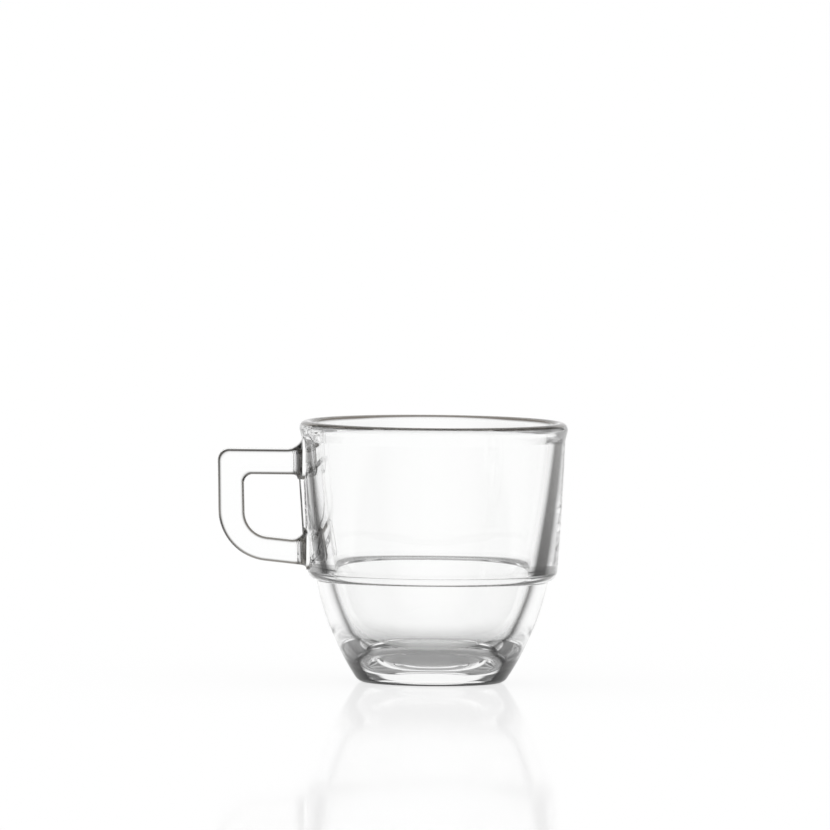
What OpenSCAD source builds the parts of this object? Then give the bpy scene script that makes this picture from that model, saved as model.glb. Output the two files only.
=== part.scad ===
// Small clear glass cup for a cortado. A thick pressed bowl has a step in its side, so that
// one cup stands in the next, and a loop handle is stuck on hot at two flared roots.
// Millimetres, +Z up. The origin is on the bowl's axis, on the surface that it stands on.
// The handle points along -X.

/* [Bowl outside] */
// Height from the table to the top of the rim
bowl_h = 68; // [64:0.5:74]
// Diameter over the bead at the rim
rim_d = 70; // [67:0.5:74]
// Thickness of the rounded rim
rim_t = 3.7; // [3:0.1:4.2]
// Height of the bead, from the neck below it to the top of the rim
bead_h = 4.8; // [4:0.1:6]
// How far the bead stands out from the neck
bead_out = 0.65; // [0.3:0.05:1]
// How far the upper wall swells past a straight line
upper_swell = 0.2; // [0.1:0.05:0.5]
// Diameter of the upper wall at the shoulder
shoulder_d = 65; // [63:0.5:67]
// Radius of the shoulder's edge
shoulder_round = 2.6; // [1:0.1:3]
// Height of the shoulder's edge above the corner of the step
step_rise = 1; // [0.8:0.1:2]
// Height of the corner of the step
step_h = 26.6; // [24:0.2:28]
// Diameter at the corner of the step
step_d = 60.4; // [58:0.2:61]
// Radius in the corner of the step
step_round = 0.4; // [0.3:0.1:1]
// How far the lower wall swells past a straight line
lower_swell = 1.5; // [1:0.1:2]
// Diameter of the heel, out to the corner before it is rounded
heel_d = 37.8; // [37:0.2:40]
// Radius of the heel, from the ring that the bowl stands on to the lower wall
heel_round = 3; // [2:0.1:3.5]

/* [Bowl inside] */
// Wall thickness at the neck
neck_wall = 4.15; // [3.8:0.05:4.6]
// Wall thickness at the shoulder, where the inside wall bends most
waist_wall = 5.1; // [4.5:0.1:6]
// Height of the floor inside above the table
floor_h = 6; // [5:0.1:7]
// Diameter of the floor, out to the corner before it is rounded
floor_d = 33; // [31:0.2:35]
// Radius between the floor and the wall
floor_round = 18; // [15:0.5:20]
// Diameter of the hollow under the base
punt_d = 32; // [30:0.2:33]
// Depth of the hollow under the base
punt_h = 1.2; // [0.6:0.1:2]
// Radius at the ceiling of the hollow under the base
punt_round = 0.6; // [0.3:0.05:0.7]

/* [Handle] */
// Reach of the handle, from the wall to the outer face of the grip
handle_reach = 22.8; // [20:0.2:26]
// Depth of the handle, front to back
handle_depth = 8.8; // [7:0.2:11]
// Thickness of the upper arm
upper_arm_t = 6.75; // [5.5:0.25:8]
// Thickness of the grip
grip_t = 7; // [6:0.25:8]
// Thickness of the lower arm
lower_arm_t = 6.5; // [5.5:0.25:7.5]
// Drop from the top of the rim to the top of the upper arm
handle_drop = 7.4; // [7.2:0.1:9]
// Rise from the shoulder's edge to the underside of the lower arm, at the wall
handle_rise = 2.6; // [1.5:0.1:3]
// How far the lower arm climbs from the wall to the grip
arm_climb = 2.4; // [1:0.2:4]
// How far the foot of the grip is drawn in
grip_lean = 0.5; // [0:0.1:2]
// Outer radius of the upper corner
upper_round = 3; // [2:0.5:6]
// Inner radius of the upper corner
upper_inner_round = 2.2; // [1.5:0.1:3]
// Outer radius of the lower corner
lower_round = 13.8; // [10:0.2:14]
// Inner radius of the lower corner
lower_inner_round = 6.5; // [4:0.5:7]
// Radius of the flare at the front and back of both roots
side_flare = 3.2; // [1:0.1:4]
// Radius of the flare above the upper root
upper_flare = 4.1; // [2:0.1:5]
// Radius of the flare from the strip to the upper root
upper_under_flare = 1.2; // [0.6:0.1:2]
// Radius of the flare from the strip to the lower root
lower_flare = 3.4; // [2:0.1:4]
// Radius of the flare below the lower root
lower_under_flare = 1; // [0.4:0.1:1.4]
// Width of the strip of glass between the roots
strip_w = 8; // [6:0.2:10]
// Thickness of the strip at the upper root
upper_strip_t = 1.2; // [0.8:0.1:1.6]
// Thickness of the strip at the lower root
lower_strip_t = 0.7; // [0.5:0.1:1.2]
// Radius of the strip's outer edges
strip_round = 0.45; // [0.2:0.05:0.5]

/* [Hidden] */

// Facets of a full turn, and steps in a rounded corner, a long curve and a flare
$fn = 96;
corner_steps = 8;
curve_steps = 12;
flare_steps = 7;
// Points around the handle's section, and the squareness of that section
section_steps = 24;
section_power = 5;
// Depth to which the handle's ends and strip run into the wall before they are cut to it
root_overrun = 3;

rim_r = rim_d / 2;
rim_round = rim_t / 2;
rim_centre = [rim_r - rim_round, bowl_h - rim_round];
neck_h = bowl_h - bead_h;
neck = [rim_r - bead_out, neck_h];
inner_neck = [neck[0] - neck_wall, neck_h];
shoulder = [shoulder_d / 2, step_h + step_rise];
step_corner = [step_d / 2, step_h];
waist = [shoulder[0] - waist_wall, shoulder[1]];
floor_corner = [floor_d / 2, floor_h];
heel_corner = [heel_d / 2, 0];
punt_edge = [punt_d / 2, 0];
punt_corner = [punt_edge[0] - punt_h, punt_h];

// Unit vector from a to b
function toward(a, b) = (b - a) / norm(b - a);

// Angle of the vector from a to b, in degrees
function heading(a, b) = atan2(b[1] - a[1], b[0] - a[0]);

// Point at a distance and an angle from a centre
function polar(centre, radius, angle) = centre + radius * [cos(angle), sin(angle)];

// Points of an arc that begins at an angle and turns by the sweep
function arc(centre, radius, start, sweep, steps) =
    [for (i = [0:steps]) polar(centre, radius, start + sweep * i / steps)];

// Points of the arc that rounds the corner b between the lines to a and to c
function rounded(a, b, c, radius, steps) =
    let (
        half = acos(toward(b, a) * toward(b, c)) / 2,
        centre = b + radius / sin(half) * toward([0, 0], toward(b, a) + toward(b, c)),
        first = b + radius / tan(half) * toward(b, a),
        last = b + radius / tan(half) * toward(b, c),
        start = heading(centre, first),
        turn = heading(centre, last) - start,
        sweep = turn > 180 ? turn - 360 : turn < -180 ? turn + 360 : turn
    )
    arc(centre, radius, start, sweep, steps);

// Points of an arc from a to b that stands out to the right of that line by the rise
function swelled(a, b, rise, steps) =
    let (
        half = norm(b - a) / 2,
        radius = (half * half + rise * rise) / (2 * rise),
        side = [toward(a, b)[1], -toward(a, b)[0]],
        centre = (a + b) / 2 + (rise - radius) * side,
        sweep = 2 * asin(half / radius)
    )
    arc(centre, radius, heading(centre, a), sweep, steps);

// Points of the curve from a to c whose ends point at b
function bent(a, b, c, steps) =
    [for (i = [0:steps]) let (t = i / steps) (1 - t) * (1 - t) * a + 2 * t * (1 - t) * b + t * t * c];

// Angle at which the line from a point touches a circle, on its right or left
function touch_angle(point, centre, radius, side) =
    heading(centre, point) + side * acos(radius / norm(point - centre));

// Outline from the foot up the outside of the bowl to the neck
lower_wall = swelled(heel_corner, step_corner, lower_swell, curve_steps);
outside = concat(
    rounded([0, 0], heel_corner, lower_wall[1], heel_round, corner_steps),
    [for (i = [1:curve_steps - 1]) lower_wall[i]],
    rounded(lower_wall[curve_steps - 1], step_corner, shoulder, step_round, corner_steps),
    rounded(step_corner, shoulder, neck, shoulder_round, corner_steps),
    [for (p = swelled(shoulder, neck, upper_swell, curve_steps)) if (p[1] > shoulder[1] + shoulder_round) p]
);

// Round rim, from the outer neck to its top and from there to the inner neck
rim_start = touch_angle(neck, rim_centre, rim_round, 1);
rim_end = touch_angle(inner_neck, rim_centre, rim_round, -1) + 360;
rim_outside = arc(rim_centre, rim_round, rim_start, 90 - rim_start, corner_steps);
rim_inside = arc(rim_centre, rim_round, 90, rim_end - 90, corner_steps);

// Inside of the bowl, from the top of the rim to the floor
floor_arc = rounded(waist, floor_corner, [0, floor_h], floor_round, corner_steps);
inside = concat(
    [for (i = [1:corner_steps]) rim_inside[i]],
    bent(inner_neck, waist, floor_arc[0], curve_steps),
    [for (i = [1:corner_steps]) floor_arc[i]]
);

// Hollow under the base
punt = rounded([0, punt_h], punt_corner, punt_edge, punt_round, corner_steps);

// Solid of the bowl's outside, with no hollow in it
module bowl_outside() {
    rotate_extrude()
        polygon(concat([[0, 0]], outside, rim_outside, [[0, bowl_h]]));
}

module bowl() {
    color("aliceblue", 0.5)
        rotate_extrude()
            polygon(concat([[0, punt_h]], punt, [punt_edge], outside, rim_outside, inside, [[0, floor_h]]));
}

// Radius of the upper wall at a height, on the straight line from the shoulder to the neck
function wall_r(z) =
    shoulder[0] + (neck[0] - shoulder[0]) * (z - shoulder[1]) / (neck[1] - shoulder[1]);

// Places of the handle in the plane of its loop: x outward from the bowl's axis, and height
upper_top = bowl_h - handle_drop;
upper_bottom = upper_top - upper_arm_t;
lower_bottom = shoulder[1] + handle_rise;
lower_top = lower_bottom + lower_arm_t;
upper_root = wall_r((upper_top + upper_bottom) / 2);
lower_root = wall_r((lower_top + lower_bottom) / 2);
grip_out = wall_r((upper_top + lower_bottom) / 2) + handle_reach;
grip_in = grip_out - grip_t;
arm_slope = arm_climb / (grip_out - lower_root);

// Height of the lower arm's underside and top at a distance out from the axis
function arm_low(x) = lower_bottom + arm_slope * (x - lower_root);
function arm_high(x) = lower_top + arm_slope * (x - lower_root);

// Distances from the wall at which the flares are drawn, and a flare's growth at a distance
longest_flare = max(
    side_flare,
    upper_flare,
    upper_strip_t + upper_under_flare,
    lower_strip_t + lower_flare,
    lower_under_flare
);
flare_places = [for (i = [0:flare_steps]) longest_flare * (1 - cos(90 * i / flare_steps))];
function growth(flare, place) =
    let (left = max(flare - max(place, 0), 0))
    flare - sqrt(flare * flare - left * left);

// A station of the loop: inner point, outer point and half depth
half_depth = handle_depth / 2;
function upper_station(place) =
    let (x = upper_root + place)
    [
        [x, upper_bottom - growth(upper_under_flare, place - upper_strip_t)],
        [x, upper_top + growth(upper_flare, place)],
        half_depth + growth(side_flare, place)
    ];
function lower_station(place) =
    let (x = lower_root + place)
    [
        [x, arm_high(x) + growth(lower_flare, place - lower_strip_t)],
        [x, arm_low(x) - growth(lower_under_flare, place)],
        half_depth + growth(side_flare, place)
    ];
function corner_stations(inner, outer) =
    [for (i = [0:corner_steps]) [inner[i], outer[i], half_depth]];

upper_end = [upper_root, upper_top];
lower_end = [lower_root, arm_low(lower_root)];
outer_upper = [grip_out, upper_top];
outer_lower = [grip_out - grip_lean, arm_low(grip_out - grip_lean)];
inner_upper = [grip_in, upper_bottom];
inner_lower = [grip_in - grip_lean, arm_high(grip_in - grip_lean)];
stations = concat(
    [upper_station(-root_overrun)],
    [for (place = flare_places) upper_station(place)],
    corner_stations(
        rounded([upper_root, upper_bottom], inner_upper, inner_lower, upper_inner_round, corner_steps),
        rounded(upper_end, outer_upper, outer_lower, upper_round, corner_steps)
    ),
    corner_stations(
        rounded(inner_upper, inner_lower, [lower_root, lower_top], lower_inner_round, corner_steps),
        rounded(outer_upper, outer_lower, lower_end, lower_round, corner_steps)
    ),
    [for (i = [flare_steps:-1:0]) lower_station(flare_places[i])],
    [lower_station(-root_overrun)]
);

// Signed power, for the rounded square of the handle's section
function squared(v) = sign(v) * pow(abs(v), 2 / section_power);

// Points of the section at a station, with the loop turned to -X
function section(station) =
    let (middle = (station[0] + station[1]) / 2, half = (station[1] - station[0]) / 2)
    [for (i = [0:section_steps - 1])
        let (
            angle = 360 * i / section_steps,
            p = middle + half * squared(cos(angle))
        )
        [-p[0], station[2] * squared(sin(angle)), p[1]]];

module handle_loop() {
    rings = len(stations);
    points = [for (s = stations) each section(s)];
    sides = [for (r = [0:rings - 2], i = [0:section_steps - 1])
        let (
            a = r * section_steps + i,
            b = r * section_steps + (i + 1) % section_steps
        )
        each [[a, b + section_steps, b], [a, a + section_steps, b + section_steps]]];
    first_cap = [for (i = [0:section_steps - 1]) i];
    last_cap = [for (i = [section_steps - 1:-1:0]) (rings - 1) * section_steps + i];
    polyhedron(points, concat(sides, [first_cap, last_cap]));
}

// Strip of glass down the wall, from the middle of one root to the middle of the other
module handle_strip() {
    low_z = (lower_bottom + lower_top) / 2;
    high_z = (upper_bottom + upper_top) / 2;
    low = [lower_root + lower_strip_t, low_z];
    high = [upper_root + upper_strip_t, high_z];
    edge = strip_w / 2;
    deep = upper_strip_t + root_overrun;
    front = rounded([deep, -edge], [0, -edge], [0, 0], strip_round, corner_steps);
    back = rounded([0, 0], [0, edge], [deep, edge], strip_round, corner_steps);
    translate([-low[0], 0, low[1]])
        rotate([0, -atan2(high[0] - low[0], high[1] - low[1]), 0])
            linear_extrude(norm(high - low))
                polygon(concat([[deep, -edge]], front, back, [[deep, edge]]));
}

module handle() {
    color("aliceblue", 0.5)
        difference() {
            union() {
                handle_loop();
                handle_strip();
            }
            bowl_outside();
        }
}

bowl();
handle();
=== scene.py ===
"""Looks of a small clear glass cup for a cortado: bowl, fused handle, floor and light.

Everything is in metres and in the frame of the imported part: +Z up, the origin on the bowl's axis
in the plane that the cup stands on, and the handle along -X.
"""

import logging
import math
from dataclasses import dataclass
from enum import Enum
from typing import Any, Union

import bmesh
import bpy
from mathutils import Matrix, Vector


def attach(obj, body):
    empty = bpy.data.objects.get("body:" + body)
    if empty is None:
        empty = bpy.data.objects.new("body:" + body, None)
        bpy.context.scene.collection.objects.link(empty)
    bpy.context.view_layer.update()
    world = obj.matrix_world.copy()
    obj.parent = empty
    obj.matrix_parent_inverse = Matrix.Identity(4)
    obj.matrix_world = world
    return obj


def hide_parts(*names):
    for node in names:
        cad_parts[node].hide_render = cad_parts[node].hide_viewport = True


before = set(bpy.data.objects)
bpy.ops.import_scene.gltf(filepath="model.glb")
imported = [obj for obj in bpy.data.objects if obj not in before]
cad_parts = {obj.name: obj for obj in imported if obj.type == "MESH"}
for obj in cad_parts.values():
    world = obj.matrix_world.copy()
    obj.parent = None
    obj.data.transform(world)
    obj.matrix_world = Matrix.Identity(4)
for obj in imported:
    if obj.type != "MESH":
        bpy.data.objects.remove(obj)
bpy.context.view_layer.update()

LOG = logging.getLogger("cortado_glass")
BODY = "root"
WHITE = (1.0, 1.0, 1.0, 1.0)
MM = 0.001
# Points closer than this become one.
WELD = 0.001 * MM
# At this blend, Layer Weight's Facing is 1 less the cosine of the angle between ray and normal.
EVEN_BLEND = 0.5
# A share times its rest times this is a hump with a height of 1.
HUMP = 4.0
# A ramp over these turns begins only where a face is edge-on.
PAST_EDGE_ON = (1.0, 2.0)
# A ramp over these heights ends below the cup, so it is 1 all over it.
BELOW_ALL = (-2.0, -1.0)

Number = Union[int, float]
Limits = tuple[float, float]
Colour = tuple[float, float, float]


class Slot(Enum):
    """Places of the finishes on a piece."""

    OUTSIDE = 0
    JOINT = 1
    INSIDE = 2
    RIM = 3
    LOWER = 4
    STEP = 5
    CORNER = 6


class Member(Enum):
    """The pieces of the cup, by the CAD node that each stands for."""

    BOWL = "bowl"
    HANDLE = "handle"


class Value:
    """A shader socket that Python's operators add Math nodes to."""

    def __init__(self, bench: "Bench", socket: Union[bpy.types.NodeSocket, None]) -> None:
        """Keeps the socket, if there is one, and the bench that its node stands on."""
        self.bench = bench
        self.socket = socket

    def maths(self, operation: str, *others: "Operand") -> "Value":
        """Adds a Math node.

        Args:
            operation: Name of the node's operation.
            others: What the node takes after this value.

        Returns:
            The node's result.
        """
        inputs = dict(enumerate((self, *others)))
        return self.bench.add("ShaderNodeMath", {"operation": operation}, inputs)

    def __add__(self, other: "Operand") -> "Value":
        """Sum of two values."""
        return self.maths("ADD", other)

    def __sub__(self, other: "Operand") -> "Value":
        """Difference of two values."""
        return self.maths("SUBTRACT", other)

    def __rsub__(self, other: Number) -> "Value":
        """Difference of a number and this value."""
        return self.bench.add("ShaderNodeMath", {"operation": "SUBTRACT"}, {0: other, 1: self})

    def __mul__(self, other: "Operand") -> "Value":
        """Product of two values."""
        return self.maths("MULTIPLY", other)

    def __truediv__(self, other: "Operand") -> "Value":
        """Quotient of two values."""
        return self.maths("DIVIDE", other)

    def __abs__(self) -> "Value":
        """Size of the value."""
        return self.maths("ABSOLUTE")

    __radd__ = __add__
    __rmul__ = __mul__


Operand = Union[Value, Number]


class Bench:
    """The node tree of one finish, cleared, with a method that adds any node to it."""

    def __init__(self, tree: bpy.types.NodeTree) -> None:
        """Takes a node tree and empties it."""
        self.tree = tree
        tree.nodes.clear()

    def add(
        self, kind: str, settings: dict[str, Any], inputs: dict[Any, Any], output: Any = 0
    ) -> Value:
        """Adds a node.

        Args:
            kind: Type of the node.
            settings: Properties of the node, which are set first.
            inputs: Values or links of its sockets, by name or place.
            output: Name or place of the output that is wanted.

        Returns:
            The output, without a socket where the node has none.
        """
        node = self.tree.nodes.new(kind)
        for name, setting in settings.items():
            setattr(node, name, setting)
        for name, value in inputs.items():
            if isinstance(value, Value):
                self.tree.links.new(value.socket, node.inputs[name])
            else:
                node.inputs[name].default_value = value
        return Value(self, node.outputs[output] if node.outputs else None)

    def ramp(self, value: Value, limits: Limits) -> Value:
        """Adds a soft ramp from 0 at the first limit to 1 at the second.

        Args:
            value: What the ramp follows.
            limits: Where the ramp begins and ends.

        Returns:
            The ramp.
        """
        inputs = {"Value": value, "From Min": limits[0], "From Max": limits[1]}
        return self.add("ShaderNodeMapRange", {"interpolation_type": "SMOOTHSTEP"}, inputs)

    def noise(self, place: Value, pitch: float, detail: float, fine: float) -> Value:
        """Adds a noise pattern.

        Args:
            place: Coordinates that the pattern follows.
            pitch: Distance between its swells.
            detail: Number of its finer layers.
            fine: Strength of each finer layer.

        Returns:
            The pattern, from 0 to 1.
        """
        inputs = {"Vector": place, "Scale": 1 / pitch, "Detail": detail, "Roughness": fine}
        return self.add("ShaderNodeTexNoise", {}, inputs)

    def turned(self) -> Value:
        """How far a face is turned from the ray that meets it: 0 is head-on, 1 is edge-on."""
        return self.add("ShaderNodeLayerWeight", {}, {"Blend": EVEN_BLEND}, "Facing")

    def in_glass(self) -> Value:
        """1 for what is seen through glass or mirrored, 0 for the rest."""
        bent = self.add("ShaderNodeLightPath", {}, {}, "Is Transmission Ray")
        return bent.maths("MAXIMUM", self.add("ShaderNodeLightPath", {}, {}, "Is Glossy Ray"))


def start_finish(name: str) -> tuple[bpy.types.Material, Bench]:
    """Starts a material.

    Args:
        name: Name of the material.

    Returns:
        The material and the bench of its nodes.
    """
    made = bpy.data.materials.new(name)
    made.use_nodes = True
    return made, Bench(made.node_tree)


@dataclass(frozen=True)
class PaintedEdgeShade:
    """Painted shade: a dark band put into clear glass's base colour near its outlines, by how far
    a face is turned. It stands in for the dark surroundings that the glass bends into view there.

    Attributes:
        level: Share of the light that the painted band lets into the glass, at the middle height.
        start: Turns between which the band sets in.
        end: Turns between which it ends.
        middle: Height at which level, start and end hold.
        level_lean: Growth of the level for each metre above the middle.
        lean: How much sooner the band comes for each metre below the middle.
        delay: How much later the band comes on the handle's side.
        close: How much narrower it is there.
        base_top: Heights between which the base ends. In the base the band has no end.
        base_lead: How much sooner the band comes in the base.
        turn_lead: How much sooner it comes where the base ends.
        foot: Heights between which the band sets in.
        within: Turns between which faces that are met from within the glass are painted dark.
        kept: Share of the band on faces that are met from within.
        least: The lowest level, where the lean would take it further down.
        side: Distances from the axis between which the handle's side begins.
        dark: Shares of red, green and blue in the painted band's level.
    """

    level: float
    start: Limits
    end: Limits = PAST_EDGE_ON
    middle: float = 0.0
    level_lean: float = 0.0
    lean: float = 0.0
    delay: float = 0.0
    close: float = 0.0
    base_top: Limits = BELOW_ALL
    base_lead: float = 0.0
    turn_lead: float = 0.0
    foot: Limits = BELOW_ALL
    within: Limits = PAST_EDGE_ON
    kept: float = 1.0
    least: float = 0.003
    side: Limits = (5 * MM, 20 * MM)
    dark: Colour = (1.0, 0.97, 0.94)

    def colour(self, bench: Bench, place: Value, clear: Colour) -> Value:
        """Darkens a clear colour in the band, as painted shade in the base colour.

        Args:
            bench: Bench of the glass.
            place: Object coordinates.
            clear: Colour of the glass out of the band.

        Returns:
            The colour.
        """
        x, height = (
            bench.add("ShaderNodeSeparateXYZ", {}, {"Vector": place}, axis) for axis in "XZ"
        )
        handle_side = bench.ramp(0 - x, self.side)
        above_base = bench.ramp(height, self.base_top)
        turned = bench.turned() + (self.middle - height) * self.lean - handle_side * self.delay
        lead = self.base_lead + above_base * (HUMP * self.turn_lead)
        turned = turned + (1 - above_base) * lead
        ended = bench.ramp(turned + handle_side * self.close, self.end) * above_base
        band = bench.ramp(turned, self.start) * (1 - ended) * bench.ramp(height, self.foot)
        met_within = bench.add("ShaderNodeNewGeometry", {}, {}, "Backfacing")
        band = band * (1 - met_within * (1 - self.kept))
        band = band.maths("MAXIMUM", met_within * bench.ramp(turned, self.within))
        level = self.level + (height - self.middle) * self.level_lean
        level = level.maths("MAXIMUM", self.least)
        # Painted shade: the base colour goes dark in the band.
        shares = [share * (1 - band * (1 - level * dark)) for share, dark in zip(clear, self.dark)]
        return bench.add("ShaderNodeCombineColor", {}, dict(enumerate(shares)))


@dataclass(frozen=True)
class ClearGlass:
    """Fire-polished soda glass, with faint waves from the press and faint smears.

    Attributes:
        name: Name of the material.
        edge: The painted shade near the outlines, where this glass is given one.
        tint: Colour of the glass out of the band.
        ior: Refractive index.
        wave_pitch: Distance between the waves.
        wave_height: Their height.
        wave_detail: Number of their finer layers.
        wave_fine: Strength of these.
        smear_pitch: Distance between the smears.
        smear_detail: Number of their finer layers.
        smear_fine: Strength of these.
        smear_from: Level of their pattern at which they begin.
        smear_rough: Roughness that they add for each unit of the pattern above it.
    """

    name: str
    edge: Union[PaintedEdgeShade, None] = None
    tint: Colour = (0.996, 0.998, 0.996)
    ior: float = 1.52
    wave_pitch: float = 14 * MM
    wave_height: float = 0.006 * MM
    wave_detail: float = 1.0
    wave_fine: float = 0.4
    smear_pitch: float = 5 * MM
    smear_detail: float = 3.0
    smear_fine: float = 0.6
    smear_from: float = 0.5
    smear_rough: float = 0.012

    def material(self) -> bpy.types.Material:
        """Makes the glass.

        Returns:
            The material, with its waves on Object coordinates.
        """
        made, bench = start_finish(self.name)
        place = bench.add("ShaderNodeTexCoord", {}, {}, "Object")
        wave = bench.noise(place, self.wave_pitch, self.wave_detail, self.wave_fine)
        smear = bench.noise(place, self.smear_pitch, self.smear_detail, self.smear_fine)
        bump = bench.add(
            "ShaderNodeBump", {}, {"Strength": 1.0, "Distance": self.wave_height, "Height": wave}
        )
        # The base colour carries the painted edge shade, where there is one.
        colour = self.edge.colour(bench, place, self.tint) if self.edge else (*self.tint, 1.0)
        rough = (smear - self.smear_from).maths("MAXIMUM", 0.0) * self.smear_rough
        shader = bench.add(
            "ShaderNodeBsdfPrincipled",
            {},
            {
                "Base Color": colour,
                "Roughness": rough,
                "IOR": self.ior,
                "Transmission Weight": 1.0,
                "Normal": bump,
            },
        )
        bench.add("ShaderNodeOutputMaterial", {}, {"Surface": shader})
        return made


@dataclass(frozen=True)
class FusedFace:
    """The face inside the glass where bowl and handle are one, which bends and tints nothing."""

    name: str = "fused_face"

    def material(self) -> bpy.types.Material:
        """Makes the face's material.

        Returns:
            The material, which is fully clear.
        """
        made, bench = start_finish(self.name)
        clear = bench.add("ShaderNodeBsdfTransparent", {}, {})
        bench.add("ShaderNodeOutputMaterial", {}, {"Surface": clear})
        return made


class Outline:
    """A line in the half plane of radius and height, drawn from one end to the other."""

    def __init__(self, start: Vector) -> None:
        """Starts the line at a point."""
        self.points = [start]

    def arc(self, centre: Vector, radius: float, start: float, end: float, steps: int) -> None:
        """Adds an arc.

        Args:
            centre: Centre of the arc.
            radius: Its radius.
            start: Angle at which it begins, in radians.
            end: Angle at which it ends.
            steps: Number of straight steps.
        """
        for step in range(steps + 1):
            angle = start + (end - start) * step / steps
            self.points.append(centre + radius * Vector((math.cos(angle), math.sin(angle))))

    def fillet(self, corner: Vector, after: Vector, radius: float, steps: int) -> None:
        """Rounds a corner on the way from the last point.

        Args:
            corner: The corner.
            after: A point that the line goes to from there.
            radius: Radius of the rounding.
            steps: Number of straight steps in it.
        """
        back = (self.points[-1] - corner).normalized()
        ahead = (after - corner).normalized()
        half = back.angle(ahead) / 2
        centre = corner + (back + ahead).normalized() * (radius / math.sin(half))
        first = corner + back * (radius / math.tan(half)) - centre
        last = corner + ahead * (radius / math.tan(half)) - centre
        start = math.atan2(first.y, first.x)
        turn = math.remainder(math.atan2(last.y, last.x) - start, math.tau)
        self.arc(centre, radius, start, start + turn, steps)

    def bow(self, end: Vector, rise: float, steps: int) -> None:
        """Adds an arc to a point that stands out to the right of the straight line.

        Args:
            end: Where the arc ends.
            rise: How far it stands out.
            steps: Number of straight steps.
        """
        start = self.points[-1]
        chord = end - start
        half = chord.length / 2
        radius = (half * half + rise * rise) / (2 * rise)
        side = Vector((chord.y, -chord.x)).normalized()
        centre = (start + end) / 2 + side * (rise - radius)
        first = math.atan2(start.y - centre.y, start.x - centre.x)
        self.arc(centre, radius, first, first + 2 * math.asin(half / radius), steps)

    def bend(self, corner: Vector, end: Vector, steps: int) -> None:
        """Adds a curve whose two ends point at a corner.

        Args:
            corner: The corner.
            end: Where the curve ends.
            steps: Number of straight steps.
        """
        start = self.points[-1]
        for step in range(1, steps + 1):
            t = step / steps
            self.points.append((1 - t) ** 2 * start + 2 * t * (1 - t) * corner + t * t * end)


def touch_angle(point: Vector, centre: Vector, radius: float, side: int) -> float:
    """Angle at which the line from a point touches a circle.

    Args:
        point: The point.
        centre: The circle's centre.
        radius: Its radius.
        side: 1 for the line on the right of the circle as seen from below, -1 for the left.

    Returns:
        The angle on the circle, in radians.
    """
    away = point - centre
    return math.atan2(away.y, away.x) + side * math.acos(radius / away.length)


def keep_mesh(bm: bmesh.types.BMesh, name: str) -> bpy.types.Object:
    """Makes a smooth object of a bmesh and frees it.

    Args:
        bm: The finished bmesh.
        name: Name of the object.

    Returns:
        The object, linked to the scene.
    """
    for face in bm.faces:
        face.smooth = True
    mesh = bpy.data.meshes.new(name)
    bm.to_mesh(mesh)
    bm.free()
    made = bpy.data.objects.new(name, mesh)
    bpy.context.scene.collection.objects.link(made)
    return made


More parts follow.
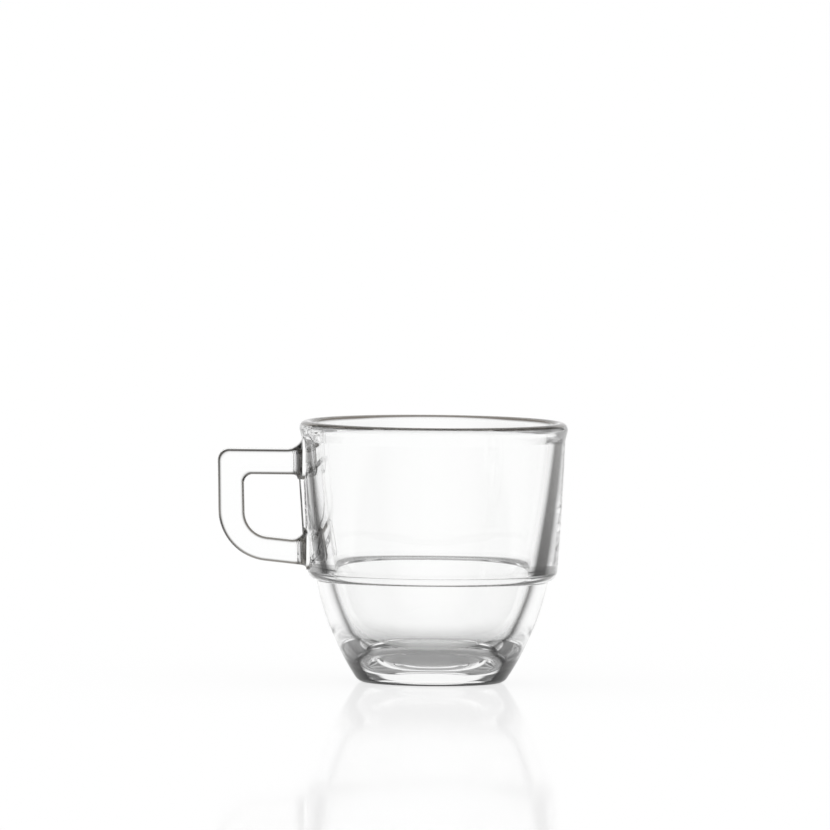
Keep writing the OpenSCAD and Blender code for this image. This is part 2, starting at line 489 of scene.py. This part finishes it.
@dataclass
class Bowl:
    """The pressed bowl: rounded rim, upper wall, stacking step, lower bowl and thick base.

    The hollow under the rim's bead takes a share of the bead's height on both sides of the neck.
    The first points of the lower wall lie in the round of the heel, and the last ones in the round
    of the step. A face belongs to the step where it looks down by more than the tilt.
    """

    height: float = 68 * MM
    rim_d: float = 70 * MM
    rim_t: float = 3.7 * MM
    bead_h: float = 4.8 * MM
    bead_out: float = 0.65 * MM
    bead_round: float = 4 * MM
    hollow_share: float = 0.25
    upper_swell: float = 0.2 * MM
    shoulder_d: float = 65 * MM
    shoulder_round: float = 2.6 * MM
    step_rise: float = 1 * MM
    step_h: float = 26.6 * MM
    step_d: float = 60.4 * MM
    step_round: float = 0.4 * MM
    lower_swell: float = 1.5 * MM
    heel_d: float = 37.8 * MM
    heel_round: float = 3 * MM
    neck_wall: float = 4.15 * MM
    waist_wall: float = 5.1 * MM
    floor_h: float = 6 * MM
    floor_d: float = 33 * MM
    floor_round: float = 18 * MM
    punt_d: float = 32 * MM
    punt_h: float = 1.2 * MM
    punt_round: float = 0.6 * MM
    foot_round: float = 0.25 * MM
    step_tilt: float = 0.1
    turn_steps: int = 256
    corner_steps: int = 12
    rim_steps: int = 24
    curve_steps: int = 36
    heel_points: int = 3
    step_points: int = 2

    @property
    def hollow(self) -> float:
        """Height above and below the neck that the hollow under the bead takes."""
        return self.bead_h * self.hollow_share

    @property
    def neck(self) -> Vector:
        """Outer neck, below the bead."""
        return Vector((self.rim_d / 2 - self.bead_out, self.height - self.bead_h))

    @property
    def inner_neck(self) -> Vector:
        """Inner neck, across the wall from the outer one."""
        return self.neck - Vector((self.neck_wall, 0))

    @property
    def shoulder(self) -> Vector:
        """Corner of the shoulder, before it is rounded."""
        return Vector((self.shoulder_d / 2, self.step_h + self.step_rise))

    def wall_r(self, height: float) -> float:
        """Radius of the upper wall at a height, on the straight line from shoulder to neck."""
        share = (height - self.shoulder.y) / (self.neck.y - self.shoulder.y)
        return self.shoulder.x + (self.neck.x - self.shoulder.x) * share

    def lower_wall(self, line: Outline) -> None:
        """Draws the foot, the heel and the lower wall, up to the step.

        Args:
            line: Outline that has reached the inner edge of the ring foot.
        """
        heel = Vector((self.heel_d / 2, 0))
        step = Vector((self.step_d / 2, self.step_h))
        wall = Outline(heel)
        wall.bow(step, self.lower_swell, self.curve_steps)
        inner = wall.points[self.heel_points : -self.step_points]
        line.fillet(heel, inner[0], self.heel_round, self.corner_steps)
        line.points += [point for point in inner if point.y > line.points[-1].y]
        line.fillet(step, self.shoulder, self.step_round, self.corner_steps)

    def upper_wall(self, line: Outline) -> None:
        """Draws the shoulder, the upper wall and the rim.

        Args:
            line: Outline that has reached the step.
        """
        rim_round = self.rim_t / 2
        centre = Vector((self.rim_d / 2 - rim_round, self.height - rim_round))
        wall = Outline(self.shoulder)
        wall.bow(self.neck, self.upper_swell, self.curve_steps)
        line.fillet(self.shoulder, self.neck, self.shoulder_round, self.corner_steps)
        bottom = line.points[-1].y + self.shoulder_round
        top = self.neck.y - self.hollow
        line.points += [point for point in wall.points if bottom < point.y < top]
        start = touch_angle(self.neck, centre, rim_round, 1)
        end = touch_angle(self.inner_neck, centre, rim_round, -1) + math.tau
        line.fillet(self.neck, self.rim_point(centre, start), self.bead_round, self.corner_steps)
        line.arc(centre, rim_round, start, end, self.rim_steps)

    def rim_point(self, centre: Vector, angle: float) -> Vector:
        """Point of the rim's round at an angle."""
        return centre + self.rim_t / 2 * Vector((math.cos(angle), math.sin(angle)))

    def inside(self, line: Outline) -> None:
        """Draws the inside wall and the floor.

        Args:
            line: Outline that has reached the inner side of the rim.
        """
        waist = self.shoulder - Vector((self.waist_wall, 0))
        corner = Vector((self.floor_d / 2, self.floor_h))
        middle = Vector((0, self.floor_h))
        floor = Outline(waist)
        floor.fillet(corner, middle, self.floor_round, self.curve_steps)
        line.fillet(self.inner_neck, waist, self.bead_round, self.corner_steps)
        line.bend(waist, floor.points[1], self.curve_steps)
        line.points += floor.points[2:] + [middle]

    def outline(self) -> list[Vector]:
        """Draws half of the bowl's section.

        Returns:
            Points from the axis under the base to the axis on the floor.
        """
        edge = Vector((self.punt_d / 2, 0))
        corner = edge + Vector((-self.punt_h, self.punt_h))
        line = Outline(Vector((0, self.punt_h)))
        line.fillet(corner, edge, self.punt_round, self.corner_steps)
        line.fillet(edge, Vector((self.heel_d / 2, 0)), self.foot_round, self.corner_steps)
        self.lower_wall(line)
        self.upper_wall(line)
        self.inside(line)
        return line.points

    def place_of(self, face: bmesh.types.BMFace) -> Slot:
        """Finds the finish that a face gets.

        Args:
            face: A face of the turned section.

        Returns:
            The finish's place.
        """
        middle, normal = face.calc_center_median(), face.normal
        inward = normal.x * middle.x + normal.y * middle.y <= 0
        if middle.z > self.neck.y + self.hollow:
            return Slot.RIM
        if inward and middle.z > self.punt_h + self.foot_round:
            return Slot.INSIDE
        on_shoulder = abs(middle.z - self.shoulder.y) < self.shoulder_round
        above_wall = middle.z > self.step_h - self.step_round
        if on_shoulder and above_wall and normal.z < -self.step_tilt:
            return Slot.STEP
        if middle.z < self.shoulder.y + self.shoulder_round / 2:
            return Slot.LOWER
        return Slot.OUTSIDE

    def build(self) -> bpy.types.Object:
        """Turns the section round the axis.

        Returns:
            The bowl, closed, before the handle is joined to it.
        """
        bm = bmesh.new()
        row = [bm.verts.new((point.x, 0, point.y)) for point in self.outline()]
        edges = [bm.edges.new(pair) for pair in zip(row, row[1:])]
        bmesh.ops.spin(
            bm,
            geom=row + edges,
            cent=(0, 0, 0),
            axis=(0, 0, 1),
            angle=math.tau,
            steps=self.turn_steps,
            use_merge=True,
        )
        bmesh.ops.remove_doubles(bm, verts=bm.verts, dist=WELD)
        bmesh.ops.recalc_face_normals(bm, faces=bm.faces)
        for face in bm.faces:
            face.material_index = self.place_of(face).value
        return keep_mesh(bm, "raw_bowl")


@dataclass
class Station:
    """A place along the handle: inner and outer point in the plane of the loop, and half depth."""

    inner: Vector
    outer: Vector
    half_depth: float


@dataclass
class Handle:
    """The loop handle: two arms, a grip, flared roots and the strip of glass between the roots.

    A face is on a rounded corner where the cosine of its angle round the section is between the
    two corner shares. It is on a root's collar where it is nearer to the wall than that share of
    the side flare.
    """

    bowl: Bowl
    reach: float = 22.8 * MM
    depth: float = 8.8 * MM
    upper_arm_t: float = 6.75 * MM
    grip_t: float = 7 * MM
    lower_arm_t: float = 6.5 * MM
    drop: float = 7.4 * MM
    rise: float = 2.6 * MM
    arm_climb: float = 2.4 * MM
    grip_lean: float = 0.5 * MM
    upper_round: float = 3 * MM
    upper_inner_round: float = 2.2 * MM
    lower_round: float = 13.8 * MM
    lower_inner_round: float = 6.5 * MM
    side_flare: float = 3.2 * MM
    upper_flare: float = 4.1 * MM
    upper_under_flare: float = 1.2 * MM
    lower_flare: float = 3.4 * MM
    lower_under_flare: float = 1 * MM
    strip_w: float = 8 * MM
    upper_strip_t: float = 1.2 * MM
    lower_strip_t: float = 0.7 * MM
    strip_round: float = 0.45 * MM
    root_depth: float = 2 * MM
    squareness: float = 5.0
    corner_shares: Limits = (0.41, 0.91)
    collar: float = 0.7
    section_steps: int = 64
    corner_steps: int = 16
    strip_steps: int = 8
    flare_steps: int = 14

    def __post_init__(self) -> None:
        """Works out the heights of the arms and the places of roots and grip."""
        self.upper_top = self.bowl.height - self.drop
        self.upper_bottom = self.upper_top - self.upper_arm_t
        self.lower_bottom = self.bowl.shoulder.y + self.rise
        self.lower_top = self.lower_bottom + self.lower_arm_t
        self.upper_root = self.bowl.wall_r((self.upper_top + self.upper_bottom) / 2)
        self.lower_root = self.bowl.wall_r((self.lower_top + self.lower_bottom) / 2)
        self.grip_out = self.bowl.wall_r((self.upper_top + self.lower_bottom) / 2) + self.reach
        self.grip_in = self.grip_out - self.grip_t
        self.slope = self.arm_climb / (self.grip_out - self.lower_root)

    @staticmethod
    def growth(flare: float, place: float) -> float:
        """Growth of a flare of some radius at a distance from its wall."""
        left = max(flare - max(place, 0), 0)
        return flare - math.sqrt(flare * flare - left * left)

    def arm_low(self, x: float) -> float:
        """Height of the lower arm's underside at a distance from the axis."""
        return self.lower_bottom + self.slope * (x - self.lower_root)

    def arm_high(self, x: float) -> float:
        """Height of the lower arm's top at a distance from the axis."""
        return self.arm_low(x) + self.lower_arm_t

    def upper_station(self, place: float) -> Station:
        """Lays out the upper arm at one place.

        Args:
            place: Distance from the wall.

        Returns:
            The station there.
        """
        x = self.upper_root + place
        low = self.upper_bottom - self.growth(self.upper_under_flare, place - self.upper_strip_t)
        high = self.upper_top + self.growth(self.upper_flare, place)
        side = self.depth / 2 + self.growth(self.side_flare, place)
        return Station(Vector((x, low)), Vector((x, high)), side)

    def lower_station(self, place: float) -> Station:
        """Lays out the lower arm at one place.

        Args:
            place: Distance from the wall.

        Returns:
            The station there.
        """
        x = self.lower_root + place
        high = self.arm_high(x) + self.growth(self.lower_flare, place - self.lower_strip_t)
        low = self.arm_low(x) - self.growth(self.lower_under_flare, place)
        side = self.depth / 2 + self.growth(self.side_flare, place)
        return Station(Vector((x, high)), Vector((x, low)), side)

    def corner(self, inner: Outline, outer: Outline) -> list[Station]:
        """Stations round a corner, from the fillets of its inner and outer line."""
        return [Station(a, b, self.depth / 2) for a, b in zip(inner.points[1:], outer.points[1:])]

    def stations(self) -> list[Station]:
        """Lays out the loop.

        Returns:
            Stations from inside the wall at the upper root to inside it at the lower one.
        """
        longest = max(
            self.side_flare,
            self.upper_flare,
            self.upper_strip_t + self.upper_under_flare,
            self.lower_strip_t + self.lower_flare,
        )
        quarter = math.pi / 2 / self.flare_steps
        places = [longest * (1 - math.cos(quarter * step)) for step in range(self.flare_steps + 1)]
        foot_out = self.grip_out - self.grip_lean
        foot_in = self.grip_in - self.grip_lean
        outer_top = Vector((self.grip_out, self.upper_top))
        inner_top = Vector((self.grip_in, self.upper_bottom))
        outer_foot = Vector((foot_out, self.arm_low(foot_out)))
        inner_foot = Vector((foot_in, self.arm_high(foot_in)))
        upper_inner = Vector((self.upper_root, self.upper_bottom))
        upper_outer = Vector((self.upper_root, self.upper_top))
        lower_inner = Vector((self.lower_root, self.lower_top))
        lower_outer = Vector((self.lower_root, self.lower_bottom))
        lines = []
        for start, corner, after, radius in (
            (upper_inner, inner_top, inner_foot, self.upper_inner_round),
            (upper_outer, outer_top, outer_foot, self.upper_round),
            (inner_top, inner_foot, lower_inner, self.lower_inner_round),
            (outer_top, outer_foot, lower_outer, self.lower_round),
        ):
            line = Outline(start)
            line.fillet(corner, after, radius, self.corner_steps)
            lines.append(line)
        return [
            self.upper_station(-self.root_depth),
            *[self.upper_station(place) for place in places],
            *self.corner(lines[0], lines[1]),
            *self.corner(lines[2], lines[3]),
            *[self.lower_station(place) for place in reversed(places)],
            self.lower_station(-self.root_depth),
        ]

    def squared(self, share: float) -> float:
        """A sine or cosine, drawn out towards the sides of a rounded square."""
        return math.copysign(abs(share) ** (2 / self.squareness), share)

    def loop(self) -> bpy.types.Object:
        """Sweeps the rounded section along the stations.

        Returns:
            The loop, closed, with its ends inside the bowl's wall.
        """
        bm = bmesh.new()
        turn = bm.verts.layers.float.new("turn")
        ring = bmesh.ops.create_circle(
            bm, cap_ends=False, segments=self.section_steps, radius=1
        )["verts"]
        for vert in ring:
            vert[turn] = math.atan2(vert.co.y, vert.co.x)
        edges = list(bm.edges)
        for station in self.stations():
            if ring is None:
                made = bmesh.ops.extrude_edge_only(bm, edges=edges)["geom"]
                ring = [item for item in made if isinstance(item, bmesh.types.BMVert)]
                grown = [item for item in made if isinstance(item, bmesh.types.BMEdge)]
                edges = [edge for edge in grown if set(edge.verts) <= set(ring)]
            middle, half = (station.inner + station.outer) / 2, (station.outer - station.inner) / 2
            for vert in ring:
                place = middle + half * self.squared(math.cos(vert[turn]))
                side = station.half_depth * self.squared(math.sin(vert[turn]))
                vert.co = (-place.x, side, place.y)
            ring = None
        bmesh.ops.holes_fill(bm, edges=[edge for edge in bm.edges if edge.is_boundary])
        bmesh.ops.recalc_face_normals(bm, faces=bm.faces)
        for face in bm.faces:
            middle = face.calc_center_median()
            share = sum(abs(math.cos(vert[turn])) for vert in face.verts) / len(face.verts)
            rounded = self.corner_shares[0] < share < self.corner_shares[1]
            flared = abs(middle.x) < self.bowl.wall_r(middle.z) + self.side_flare * self.collar
            face.material_index = (Slot.CORNER if rounded or flared else Slot.JOINT).value
        return keep_mesh(bm, "raw_loop")

    def strip(self) -> bpy.types.Object:
        """Lays the strip of glass down the wall, from the middle of one root to that of the other.

        Returns:
            The strip, closed, with its back inside the bowl's wall.
        """
        low_z = (self.lower_bottom + self.lower_top) / 2
        high_z = (self.upper_bottom + self.upper_top) / 2
        low = Vector((-self.lower_root - self.lower_strip_t, 0, low_z))
        high = Vector((-self.upper_root - self.upper_strip_t, 0, high_z))
        deep = self.upper_strip_t + self.root_depth
        bm = bmesh.new()
        bmesh.ops.create_cube(bm, size=1)
        bmesh.ops.scale(bm, vec=(deep, self.strip_w, (high - low).length), verts=bm.verts)
        rounds = bmesh.ops.bevel(
            bm,
            geom=[edge for edge in bm.edges if all(vert.co.x < 0 for vert in edge.verts)],
            offset=self.strip_round,
            segments=self.strip_steps,
            profile=0.5,
            affect="EDGES",
            material=-1,
        )["faces"]
        for face in bm.faces:
            face.material_index = (Slot.CORNER if face in rounds else Slot.JOINT).value
        lean = math.atan2(high.x - low.x, high.z - low.z)
        turned = Matrix.Rotation(lean, 3, "Y")
        bmesh.ops.rotate(bm, cent=(0, 0, 0), matrix=turned, verts=bm.verts)
        middle = (low + high) / 2 + turned @ Vector((deep / 2, 0, 0))
        bmesh.ops.translate(bm, vec=middle, verts=bm.verts)
        return keep_mesh(bm, "raw_strip")


@dataclass
class Cup:
    """Bowl and handle, fused at the roots and the strip, and kept as two closed pieces."""

    bowl: Bowl
    handle: Handle
    crease: float = math.radians(38)
    # Painted shade for each part of the glass: dark bands in its base colour near the outlines,
    # tinted brown on the rim and the handle.
    wall_painted_shade: PaintedEdgeShade = PaintedEdgeShade(
        level=0.03,
        start=(0.45, 0.54),
        end=(0.66, 0.79),
        middle=47 * MM,
        level_lean=1.25,
        lean=5.7,
        delay=0.03,
        close=0.07,
    )
    lower_painted_shade: PaintedEdgeShade = PaintedEdgeShade(
        level=0.04,
        start=(0.39, 0.47),
        end=(0.47, 0.58),
        middle=18 * MM,
        level_lean=3.0,
        lean=4.0,
        delay=0.015,
        close=0.02,
        base_top=(5 * MM, 14 * MM),
        base_lead=-0.14,
        turn_lead=0.16,
    )
    step_painted_shade: PaintedEdgeShade = PaintedEdgeShade(
        level=0.06,
        start=(0.5, 0.66),
        end=(0.76, 0.92),
        within=(0.1, 0.22),
    )
    rim_painted_shade: PaintedEdgeShade = PaintedEdgeShade(
        level=0.05,
        start=(0.12, 0.36),
        foot=(66.7 * MM, 67.4 * MM),
        dark=(1.0, 0.82, 0.66),
    )
    arm_painted_shade: PaintedEdgeShade = PaintedEdgeShade(
        level=0.025,
        start=(0.0, 0.28),
        middle=50 * MM,
        level_lean=-1.8,
        kept=0.0,
        dark=(1.0, 0.88, 0.72),
    )

    def fuse(self) -> bpy.types.Mesh:
        """Joins the raw shapes.

        Returns:
            One mesh, in which the handle's faces have the places of the joint and the corners.
        """
        raw = self.bowl.build()
        others = [self.handle.loop(), self.handle.strip()]
        for item in (raw, *others):
            for _ in Slot:
                item.data.materials.append(None)
        for other in others:
            joined = raw.modifiers.new(other.name, "BOOLEAN")
            joined.operation = "UNION"
            joined.solver = "EXACT"
            joined.material_mode = "INDEX"
            joined.object = other
        ready = raw.evaluated_get(bpy.context.evaluated_depsgraph_get())
        fused = bpy.data.meshes.new_from_object(ready)
        for item in (raw, *others):
            bpy.data.objects.remove(item)
        return fused

    def part(self, fused: bpy.types.Mesh, member: Member) -> bpy.types.Object:
        """Cuts one piece off the fused mesh and closes it with the face that both share.

        Args:
            fused: The fused mesh.
            member: The piece that is wanted.

        Returns:
            The piece.
        """
        bm = bmesh.new()
        bm.from_mesh(fused)
        marks = (Slot.JOINT.value, Slot.CORNER.value)
        handle = [face for face in bm.faces if face.material_index in marks]
        bowl = [face for face in bm.faces if face.material_index not in marks]
        bmesh.ops.delete(bm, geom=handle if member is Member.BOWL else bowl, context="FACES")
        for face in bm.faces:
            if face.material_index == Slot.JOINT.value:
                face.material_index = Slot.OUTSIDE.value
        rim = [edge for edge in bm.edges if edge.is_boundary]
        for face in bmesh.ops.holes_fill(bm, edges=rim)["faces"]:
            face.material_index = Slot.JOINT.value
        bmesh.ops.recalc_face_normals(bm, faces=bm.faces)
        for edge in rim:
            edge.smooth = False
        made = keep_mesh(bm, f"{member.value}_clear")
        made.data.set_sharp_from_angle(angle=self.crease)
        return made

    def build(self) -> dict[Member, bpy.types.Object]:
        """Makes the two pieces.

        Returns:
            The pieces by member.
        """
        fused = self.fuse()
        return {member: self.part(fused, member) for member in Member}

    def dress(self, pieces: dict[Member, bpy.types.Object]) -> None:
        """Gives each piece its glass, its clear joint and its place on the part.

        Args:
            pieces: The pieces by member.
        """
        joint = FusedFace().material()
        glasses = {
            Member.BOWL: {
                Slot.OUTSIDE: ClearGlass("bowl_outside_glass", self.wall_painted_shade),
                Slot.INSIDE: ClearGlass("bowl_inside_glass"),
                Slot.RIM: ClearGlass("bowl_rim_glass", self.rim_painted_shade),
                Slot.LOWER: ClearGlass("bowl_lower_glass", self.lower_painted_shade),
                Slot.STEP: ClearGlass("bowl_step_glass", self.step_painted_shade),
            },
            Member.HANDLE: {
                Slot.OUTSIDE: ClearGlass("handle_outside_glass"),
                Slot.CORNER: ClearGlass("handle_corner_glass", self.arm_painted_shade),
            },
        }
        for member, piece in pieces.items():
            places = [face.material_index for face in piece.data.polygons]
            used = sorted(set(places))
            for place in used:
                glass = glasses[member].get(Slot(place))
                piece.data.materials.append(glass.material() if glass else joint)
            closed_up = [used.index(place) for place in places]
            piece.data.polygons.foreach_set("material_index", closed_up)
            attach(piece, BODY)
            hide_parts(member.value)


@dataclass
class Studio:
    """The white floor, the light round the cup and the camera.

    Glass and mirrors show the light as a room with four walls, each with a panel between dim
    corners.

    Attributes:
        floor_size: Diameter of the floor.
        floor_steps: Number of its straight sides.
        gloss: Share of light that the floor mirrors where it is seen edge-on.
        gloss_turn: Turns between which the mirroring sets in.
        gloss_rough: Roughness of the mirroring.
        glow: Share of the floor's white that is its own light. The rest is paint.
        glow_below: The same, for the floor below the cup as it is seen in the glass.
        below: Distances from the axis between which the floor below the cup ends.
        window: Places between the middle of a wall, 0, and its corner, 1, at which the panel ends.
        window_top: Heights between which the walls end and the ceiling begins.
        horizon: Heights between which the walls begin. Below them all is white.
        top: Level of the ceiling.
        bright: Level of the panel ahead of the camera.
        dim: Level of the corners.
        beside: Level of the panels to the right and behind the camera.
        by_handle: Level of the panel on the handle's side.
        behind: Level of the soft light from behind the camera.
        behind_wide: Directions between which that light sets in.
        distance: Distance of the camera.
        elevation: Its angle above the floor, in degrees.
        roll: Its roll, in degrees.
        sensor: Width of its sensor, in millimetres.
        frame_px: Width of the picture.
        mm_per_px: Scale of the picture.
        base_px: Place of the origin in the picture.
        bounces: How often light may bounce, so that it gets through all the walls of glass.
    """

    floor_size: float = 40.0
    floor_steps: int = 128
    gloss: float = 0.17
    gloss_turn: Limits = (0.5, 0.93)
    gloss_rough: float = 0.05
    glow: float = 0.88
    glow_below: float = 0.12
    below: Limits = (32 * MM, 75 * MM)
    window: Limits = (0.42, 0.52)
    window_top: Limits = (0.75, 0.9)
    horizon: Limits = (0.02, 0.06)
    top: float = 0.4
    bright: float = 1.0
    dim: float = 0.12
    beside: float = 0.3
    by_handle: float = 0.2
    behind: float = 0.9
    behind_wide: Limits = (0.25, 1.0)
    distance: float = 6.0
    elevation: float = 3.0
    roll: float = 0.55
    sensor: float = 36.0
    frame_px: int = 830
    mm_per_px: float = 0.2606
    base_px: tuple[float, float] = (431.2, 682.0)
    bounces: int = 32

    def floor(self) -> None:
        """Lays a pale floor that mirrors a little."""
        bm = bmesh.new()
        bmesh.ops.create_circle(
            bm, cap_ends=True, segments=self.floor_steps, radius=self.floor_size / 2
        )
        made = keep_mesh(bm, "floor")
        finish, bench = start_finish("pale_floor")
        place = bench.add("ShaderNodeTexCoord", {}, {}, "Object")
        away = bench.add("ShaderNodeVectorMath", {"operation": "LENGTH"}, {0: place}, "Value")
        shaded = bench.in_glass() * (1 - bench.ramp(away, self.below))
        share = self.glow - shaded * (self.glow - self.glow_below)
        paint = dict.fromkeys(("Red", "Green", "Blue"), 1 - share)
        matt_colour = bench.add("ShaderNodeCombineColor", {}, paint)
        glow = bench.add("ShaderNodeEmission", {}, {"Color": WHITE, "Strength": share})
        matt = bench.add("ShaderNodeBsdfDiffuse", {}, {"Color": matt_colour})
        mirror = bench.add(
            "ShaderNodeBsdfGlossy", {}, {"Color": WHITE, "Roughness": self.gloss_rough}
        )
        body = bench.add("ShaderNodeAddShader", {}, {0: glow, 1: matt})
        shine = bench.ramp(bench.turned(), self.gloss_turn) * self.gloss
        mixed = bench.add("ShaderNodeMixShader", {}, {0: shine, 1: body, 2: mirror})
        bench.add("ShaderNodeOutputMaterial", {}, {"Surface": mixed})
        made.data.materials.append(finish)

    def light(self) -> None:
        """Lights the cup from all round, with a white backdrop behind it."""
        world = bpy.data.worlds.new("studio")
        bpy.context.scene.world = world
        world.use_nodes = True
        bench = Bench(world.node_tree)
        way = bench.add("ShaderNodeTexCoord", {}, {}, "Generated")
        x, y, z = (bench.add("ShaderNodeSeparateXYZ", {}, {"Vector": way}, axis) for axis in "XYZ")
        across = abs(x).maths("MINIMUM", abs(y)) / abs(x).maths("MAXIMUM", abs(y))
        window = 1 - bench.ramp(across, self.window)
        ahead = y.maths("GREATER_THAN", abs(x))
        left = (0 - x).maths("GREATER_THAN", abs(y))
        level = self.beside + ahead * (self.bright - self.beside)
        level = level + left * (self.by_handle - self.beside)
        high = bench.ramp(z, self.window_top)
        studio = self.dim + window * (level - self.dim)
        studio = studio.maths("MAXIMUM", bench.ramp(0 - y, self.behind_wide) * self.behind)
        studio = studio + high * (self.top - studio)
        studio = 1 - bench.ramp(z, self.horizon) * (1 - studio)
        strength = 1 - bench.in_glass() * (1 - studio)
        glow = bench.add("ShaderNodeBackground", {}, {"Color": WHITE, "Strength": strength})
        bench.add("ShaderNodeOutputWorld", {}, {"Surface": glow})

    def camera(self) -> None:
        """Stands the camera far off, with a long lens, turned as in the photograph."""
        lens = bpy.data.cameras.new("camera")
        made = bpy.data.objects.new("camera", lens)
        bpy.context.scene.collection.objects.link(made)
        span = self.frame_px * self.mm_per_px * MM
        lens.sensor_width = self.sensor
        lens.lens = lens.sensor_width * self.distance / span
        tilt = math.radians(self.elevation)
        back = Vector((0, -math.cos(tilt), math.sin(tilt)))
        roll = Matrix.Rotation(math.radians(self.roll), 4, "Z").to_quaternion()
        turn = back.to_track_quat("Z", "Y") @ roll
        half = self.frame_px / 2
        shift = Vector((half - self.base_px[0], self.base_px[1] - half, 0)) * self.mm_per_px * MM
        made.rotation_mode = "QUATERNION"
        made.rotation_quaternion = turn
        made.location = back * self.distance + turn @ shift
        bpy.context.scene.camera = made

    def build(self) -> None:
        """Sets up floor, light, camera and the way that colours are shown."""
        self.floor()
        self.light()
        self.camera()
        scene = bpy.context.scene
        scene.view_settings.view_transform = "Standard"
        scene.cycles.max_bounces = self.bounces
        scene.cycles.transmission_bounces = self.bounces
        scene.cycles.glossy_bounces = self.bounces
        scene.cycles.transparent_max_bounces = self.bounces


def main() -> None:
    """Builds the studio and the cup, in order, and reports each piece."""
    logging.basicConfig(level=logging.INFO, format="%(name)s: %(message)s")
    Studio().build()
    bowl = Bowl()
    cup = Cup(bowl, Handle(bowl))
    pieces = cup.build()
    cup.dress(pieces)
    for piece in pieces.values():
        LOG.info("%s: %d faces", piece.name, len(piece.data.polygons))


if __name__ == "__main__":
    main()
